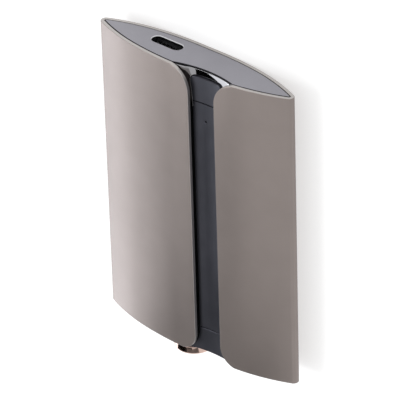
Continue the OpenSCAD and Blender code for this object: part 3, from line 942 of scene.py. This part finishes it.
# %% pegs and stops
cap_t, cap_rim = 1.5, 0.35
peg_x, peg_r, peg_l = 24.4, 0.7, 3.0
port_x, port_z, port_w, port_h = -9.9, -1.0, 9.1, 2.9
stop_x, stop_half, stop_h, stop_l = 18.9, 2.0, 1.2, 1.75


def fittings(face, into):
    """The pegs and board stops on a cap's inner face. into is the way they point, -1 or 1."""
    made = []
    for side in (-1, 1):
        made.append(rod(place(side * peg_x, face + into * peg_l / 2, 0), peg_r, peg_l, (0, 1, 0)))
        soften_rim(made[-1], 0.2)
        x0, x1 = side * stop_x - stop_half, side * stop_x + stop_half
        z0, z1 = port_z - stop_h / 2, port_z + stop_h / 2
        corners = ((x0, z0), (x1, z0), (x1, z1), (x0, z1))
        made.append(stack("stop", [[place(x, y, z) for x, z in corners]
                                   for y in (face, face + into * stop_l)]))
        soften_rim(made[-1], 0.12)
    return made


print(f"pegs {peg_x} mm and stops {stop_x} mm from the middle")

# %% [markdown]
# Over the lip the socket's cap is thinner than elsewhere, so the polished lip reaches right up
# under it, and that thin edge is slanted. The slot for the plug is a ring with half-round ends,
# cut right through.


# %% the cap at the socket's end
def round_slot(y, steps=12):
    """A ring of points round the plug's slot at a height y."""
    centre, r = (port_w - port_h) / 2, port_h / 2
    ring = []
    for side in (1, -1):
        for a in [math.pi * i / steps for i in range(steps + 1)]:
            x, z = side * (centre + r * math.sin(a)), side * r * math.cos(a)
            ring.append(place(port_x + x, y, port_z + z))
    return ring


back, step, bite_r = body_l - cap_t, body_l - cap_rim, scoop_r + 0.3
usb_cap = stack("socket_end_cap", [cap_ring(bite_r, body_l), cap_ring(scoop_r, step),
                                   cap_ring(seat_r, step), cap_ring(seat_r, back)])
cut(usb_cap, stack("slot_tool", [round_slot(y) for y in (body_l + 1, back - 1)]))

# %% break the edges of its outer face
bite_half, port_margin = 12.0, 0.3


def on_port(p):
    """Whether a point is on the slot's wall or its chamfer."""
    return (abs(p.x - port_x) < port_w / 2 + port_margin
            and abs(p.z - port_z) < port_h / 2 + port_margin)


def on_face(p):
    """Whether a point is on the outer face."""
    return p.y > body_l - 0.01


def on_bite(p):
    """Whether a point of the outer face is on the bite."""
    return abs(p.z - floor_z(p.x, bite_r)) < 0.02 and abs(p.x - scoop_x) < bite_half


break_edges(usb_cap, 0.28, lambda a, b: on_face(a) and on_face(b) and on_port(a) and on_port(b), 4)
break_edges(usb_cap, 0.15, lambda a, b: on_face(a) and on_face(b) and not on_port(a)
            and not (on_bite(a) and on_bite(b)))
join(usb_cap, fittings(back, -1))
calm(usb_cap)
# the cap's second finish is painted shade in black, its third a painted highlight
fit(usb_cap, "usb_end_cap", grey_cap, painted_shade_black, painted_highlight_chamfer)

# %% [markdown]
# The cap is anodised grey all over. Its rim, the thin edge over the lip and the slot's wall take
# painted shade in black, and the slot's chamfer a painted highlight. The parts of the cap could be
# separate pieces, but the real cap is one, so its faces pick their finish by where they lie.

# %% the cap's painted shade and painted highlight
# material 1 is the painted shade in black, material 2 the painted highlight
black, bright = 1, 2
rim_l, chamfer_l, flat_on, upright = 0.14, 0.3, 0.97, 0.3
for face in usb_cap.data.polygons:
    middle, outward = on_drive(face.center), face.normal.y
    slanted_edge = (middle.y > step and abs(middle.x - scoop_x) < bite_half
                    and abs(middle.z - floor_z(middle.x, (scoop_r + bite_r) / 2)) < 0.1)
    rim = middle.y > body_l - rim_l and not on_port(middle) and outward < flat_on
    collar = on_port(middle) and abs(outward) < upright
    chamfer = on_port(middle) and middle.y > body_l - chamfer_l and outward < flat_on
    # the rim's gap, the thin edge over the lip and the slot's wall get the painted shade
    if slanted_edge or rim or collar:
        face.material_index = black
    # the slot's chamfer gets the painted highlight
    elif chamfer:
        face.material_index = bright
blackened = sum(face.material_index == black for face in usb_cap.data.polygons)
print(f"{usb_cap.name}: {blackened} faces blackened")

# %% [markdown]
# The cap at the stud's end has no thin edge and no slot. It has one bore, through which the
# stud's shank reaches its nut inside.

# %% the cap at the stud's end
base_cap = stack("stud_end_cap", [cap_ring(seat_r, y) for y in (cap_t, 0.0)])
shank_r, bore_play = 1.5, 0.05
cut(base_cap, rod(place(stud_x, cap_t / 2, 0), shank_r + bore_play, 4, (0, 1, 0), 48))
break_edges(base_cap, 0.12, lambda a, b: a.y < 0.01 and b.y < 0.01)
join(base_cap, fittings(cap_t, 1))
calm(base_cap)
fit(base_cap, "base_end_cap", grey_cap)

# %% [markdown]
# ## The stud
# The lanyard stud is a turned part, so it is made as on the lathe: one profile spun round the
# axis. The profile has the shank that goes through the cap, a narrow neck that gives the dark
# line under the drive, a flared shoulder, and a wide round edge into the flat face.

# %% turn the stud
stud_r, stud_round, round_steps = 5.1, 0.7, 10
neck_in, neck_l, neck_flare = 0.35, 0.35, 0.25
shank_end, end_chamfer = cap_t + 1.1 + 0.3, 0.15


def turned(name, profile, x, sides=96):
    """Spins a profile of radius and height about an axis along the length. Both ends are closed."""
    rings = []
    for r, y in profile:
        rings.append([place(x + r * math.cos(a), y, r * math.sin(a))
                      for a in [2 * math.pi * i / sides for i in range(sides)]])
    return stack(name, rings)


round_edge = [(stud_r - stud_round + stud_round * math.cos(a),
               -(stud_h - stud_round + stud_round * math.sin(a)))
              for a in [math.pi / 2 * i / round_steps for i in range(round_steps + 1)]]
shank = [(shank_r - end_chamfer, shank_end), (shank_r, shank_end - end_chamfer), (shank_r, 0.02)]
neck = [(stud_r - neck_in, 0.0), (stud_r - neck_in, -neck_l)]
shoulder = [(stud_r - 0.06, -neck_l - neck_flare + 0.05), (stud_r, -neck_l - neck_flare - 0.05)]
stud = turned("turned_stud", shank + neck + shoulder + round_edge, stud_x)
print(f"stud {2 * stud_r} mm wide, {stud_h} mm high, shank {shank_end:.1f} mm into the drive")

# %% [markdown]
# The lanyard's hole is drilled across the stud after the turning. Its two mouths are countersunk a
# little, so that a cord won't chafe, and the neck's sharp edges are broken.

# %% drill the stud
hole_r = 0.7
cut(stud, rod(place(stud_x, -stud_h / 2, 0), hole_r, 14, (1, 0, 0), 40))


def hole_mouth(p):
    """Whether a point is on one of the hole's two mouths."""
    away = math.hypot(p.y + stud_h / 2, p.z)
    return hole_r - 0.08 < away < hole_r + 0.05 and abs(p.x - stud_x) > 4.7


def on_neck(p):
    """Whether a point is on the neck or beside it."""
    return p.y > -0.5 and math.hypot(p.x - stud_x, p.z) > 4


break_edges(stud, 0.13, lambda a, b: hole_mouth(a) and hole_mouth(b), 3)
break_edges(stud, 0.05, lambda a, b: on_neck(a) and on_neck(b), 2)
calm(stud)
fit(stud, "lanyard_stud", rose_gold)

# %% [markdown]
# ## What the sleeve hides
# The core is a dark anodised extrusion, and the board slides into it with its socket, chips and
# heat spreaders. Their solids could be remade as pieces, but they have the right shapes already.
# So they stay, and get what a solid lacks: broken edges and a finish with its own grain.
# Extrusions show fine lines along the length and rolled copper shows them too, while moulded
# resin is an even, slightly pitted black.


# %% metal with lines, and moulded resin
def lined(name, colour, metallic, roughness, scale, along, depth):
    """Metal with fine lines drawn out along one axis."""
    made, tree, shader = finish(name, colour, metallic, roughness)
    stretch = [1.0, 1.0, 1.0]
    stretch[along] = 0.02
    lines = grain(tree, scale, 3, tuple(stretch))
    between(tree, grain(tree, 220, 3), *drift(colour, 0.05), shader.inputs["Base Color"])
    between(tree, lines, roughness - 0.04, roughness + 0.06, shader.inputs["Roughness"])
    relief(tree, shader, lines, depth)
    return made


def moulded(name, colour, roughness, scale, depth, **plain):
    """Resin, ceramic or rubber: a fine pitted skin over a colour that hardly varies."""
    made, tree, shader = finish(name, colour, 0.0, roughness, **plain)
    between(tree, grain(tree, 600, 3), *drift(colour, 0.07), shader.inputs["Base Color"])
    between(tree, grain(tree, 300, 2), roughness - 0.05, roughness + 0.05,
            shader.inputs["Roughness"])
    relief(tree, shader, grain(tree, scale, 2), depth)
    return made


# %% the finishes of the hidden parts
along_y = 1
drawn_steel = lined("drawn_steel", (0.60, 0.61, 0.63), 1.0, 0.26, 3000, along_y, 3 * MICRON)
dark_extrusion = lined("dark_anodised_extrusion", (0.045, 0.046, 0.05), 0.8, 0.42, 2200, along_y,
                       5 * MICRON)
rolled_copper = lined("rolled_copper", (0.72, 0.38, 0.24), 1.0, 0.30, 2600, along_y, 3 * MICRON)
plated_gold = lined("plated_gold", (0.85, 0.62, 0.25), 1.0, 0.22, 4000, along_y, 2 * MICRON)
chip_resin = moulded("black_chip_resin", (0.016, 0.016, 0.018), 0.55, 9000, 6 * MICRON)
ferrite = moulded("grey_ferrite", (0.085, 0.08, 0.075), 0.62, 5000, 10 * MICRON)
tan_ceramic = moulded("tan_ceramic", (0.34, 0.22, 0.13), 0.38, 3500, 6 * MICRON)
lamp_resin = moulded("lamp_resin", (0.78, 0.77, 0.62), 0.25, 2500, 3 * MICRON, Coat_Weight=0.5)
pad_silicone = moulded("blue_grey_silicone", (0.20, 0.27, 0.36), 0.68, 2400, 12 * MICRON)
tongue_resin = moulded("black_tongue_resin", (0.02, 0.02, 0.022), 0.42, 5000, 5 * MICRON)

# %% [markdown]
# The board's solder mask is a thin green lacquer. Where copper tracks run under it the green is
# lighter and stands two hundredths of a millimetre higher. Tracks could be modelled one by
# one, but on a hidden board a brick pattern of fine lines gives colour and height from one
# source. The light pipe is clear polycarbonate, so light goes through it, with the faint flow
# marks of moulding.

# %% solder mask and light pipe
mask_green = (0.012, 0.085, 0.04)
solder_mask, tree, shader = finish("green_solder_mask", mask_green, 0.0, 0.30, Coat_Weight=0.6)
where = tree.nodes.new("ShaderNodeTexCoord")
tracks = tree.nodes.new("ShaderNodeTexBrick")
tracks.inputs["Scale"].default_value = 420
tracks.inputs["Mortar Size"].default_value = 0.035
tracks.inputs["Color1"].default_value = tracks.inputs["Color2"].default_value = (0, 0, 0, 1)
tracks.inputs["Mortar"].default_value = (1, 1, 1, 1)
tree.links.new(where.outputs["Object"], tracks.inputs["Vector"])
between(tree, tracks.outputs["Fac"], mask_green, (0.03, 0.17, 0.075),
        shader.inputs["Base Color"], (0, 1))
between(tree, grain(tree, 400, 3), 0.25, 0.36, shader.inputs["Roughness"])
relief(tree, shader, tracks.outputs["Fac"], 20 * MICRON)

clear_pipe, tree, shader = finish("clear_polycarbonate", (0.92, 0.95, 0.97), 0.0, 0.06, IOR=1.585,
                                  Transmission_Weight=1.0)
between(tree, grain(tree, 900, 2), 0.04, 0.10, shader.inputs["Roughness"])
relief(tree, shader, grain(tree, 1500, 1, (1, 1, 0.3)), 4 * MICRON)

# %% [markdown]
# Each hidden node now takes its finish and a narrow broken edge. The edge is a modifier, so the
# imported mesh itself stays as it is.

# %% dress the hidden parts
hidden = {
    "core_housing": (dark_extrusion, 0.10), "main_board": (solder_mask, 0.05),
    "controller_chip": (chip_resin, 0.10), "flash_chips": (chip_resin, 0.10),
    "power_chip": (chip_resin, 0.06), "clock_crystal": (drawn_steel, 0.15),
    "power_inductors": (ferrite, 0.20), "ceramic_capacitors": (tan_ceramic, 0.06),
    "status_led": (lamp_resin, 0.06), "light_pipe": (clear_pipe, 0.03),
    "usb_shell": (drawn_steel, 0.06), "usb_insulator": (tongue_resin, 0.08),
    "usb_contacts": (plated_gold, 0.02), "thermal_pads": (pad_silicone, 0.08),
    "front_heat_spreader": (rolled_copper, 0.04), "back_heat_spreader": (rolled_copper, 0.04),
    "stud_nut": (drawn_steel, 0.12),
}
for name, (made, width) in hidden.items():
    part = solid[name]
    part.data.materials.clear()
    part.data.materials.append(made)
    edge = part.modifiers.new("broken_edges", "BEVEL")
    edge.width = width * MM
    edge.segments = 2
    edge.limit_method = "ANGLE"
    edge.angle_limit = math.radians(40)
    edge.harden_normals = True
print("hidden parts dressed:", len(hidden))
